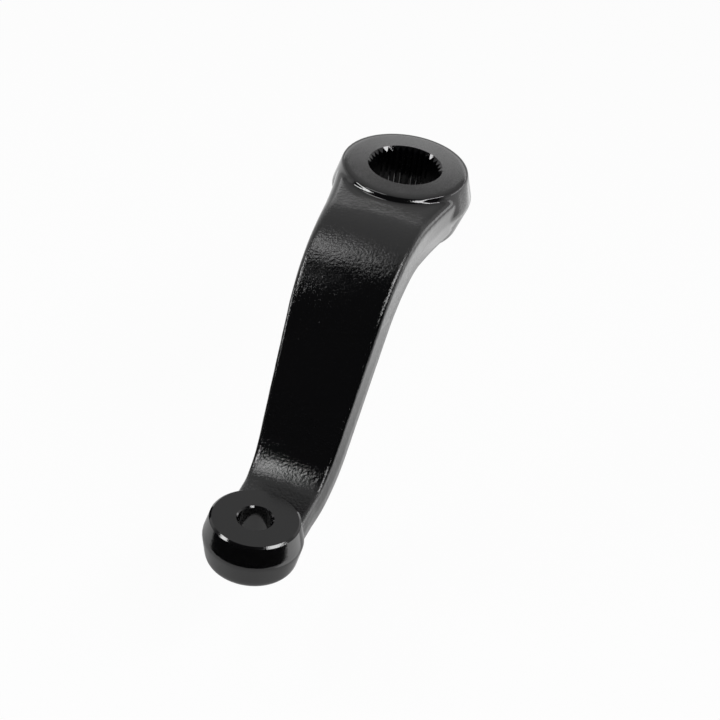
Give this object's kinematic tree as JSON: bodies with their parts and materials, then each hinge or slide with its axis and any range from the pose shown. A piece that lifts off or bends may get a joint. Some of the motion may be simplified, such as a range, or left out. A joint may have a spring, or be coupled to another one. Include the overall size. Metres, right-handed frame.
{
  "type": "pitman arm",
  "caption": "Forged drop pitman arm with a tapered splined hub for the steering box shaft and an eye with a tapered hole for the drag link's ball stud.",
  "frame": {"origin": "middle of the splined bore, on the sector shaft's axis, halfway between the hub's two machined faces", "axes": "+Z along the sector shaft towards the steering box, +X from the hub towards the eye"},
  "size_m": [0.2086, 0.0598, 0.0982],
  "materials": {
    "paint": "gloss"
  },
  "bodies": {
    "root": {"pitman_arm": "paint"}
  },
  "joints": []
}
